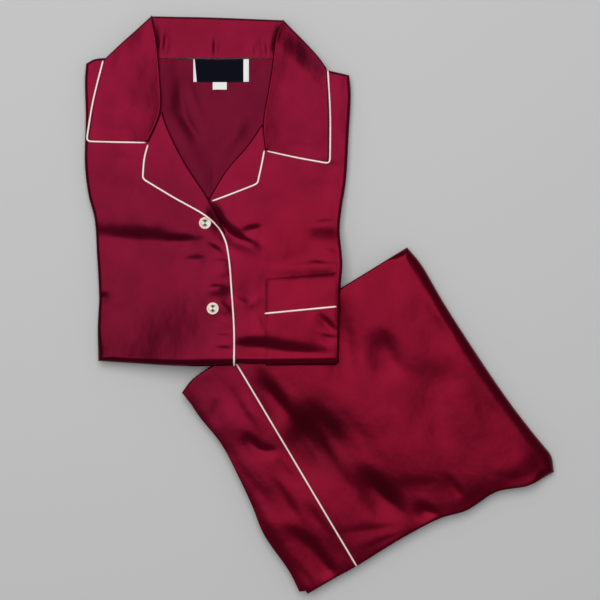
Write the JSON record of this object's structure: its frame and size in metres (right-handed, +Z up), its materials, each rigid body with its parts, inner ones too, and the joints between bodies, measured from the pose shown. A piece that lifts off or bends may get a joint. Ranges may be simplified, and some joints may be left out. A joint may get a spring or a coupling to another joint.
{
  "type": "folded pyjama set",
  "caption": "Folded satin pyjama set: a notched-collar shirt with contrast piping and a chest pocket, laid across its folded trousers.",
  "frame": {"origin": "on the surface under the middle of the whole set", "axes": "+Z up from the surface, +Y towards the shirt's collar, +X towards the wearer's left front of the shirt"},
  "size_m": [0.5649, 0.6948, 0.0388],
  "materials": {
    "satin": "burgundy satin, soft sheen",
    "satin_inside": "dull back of the burgundy satin",
    "piping": "pale pinkish cream satin piping",
    "button": "pearly beige, polished",
    "label": "woven navy tape with pale ends, bare",
    "tab": "woven white tape, bare"
  },
  "bodies": {
    "root": {"front_right": "satin", "front_left": "satin", "shirt_layers": "satin", "shirt_back": "satin_inside", "collar": "satin", "lapel_right": "satin", "lapel_left": "satin", "front_piping": "piping", "lapel_piping": "piping", "collar_piping_right": "piping", "collar_piping_left": "piping", "pocket": "satin", "pocket_band": "satin", "pocket_piping": "piping", "button_top": "button", "button_low": "button", "neck_label": "label", "size_tab": "tab", "leg_panel": "satin", "cuff_top": "satin", "cuff_under": "satin", "trouser_layers": "satin", "cuff_piping": "piping"}
  },
  "joints": []
}
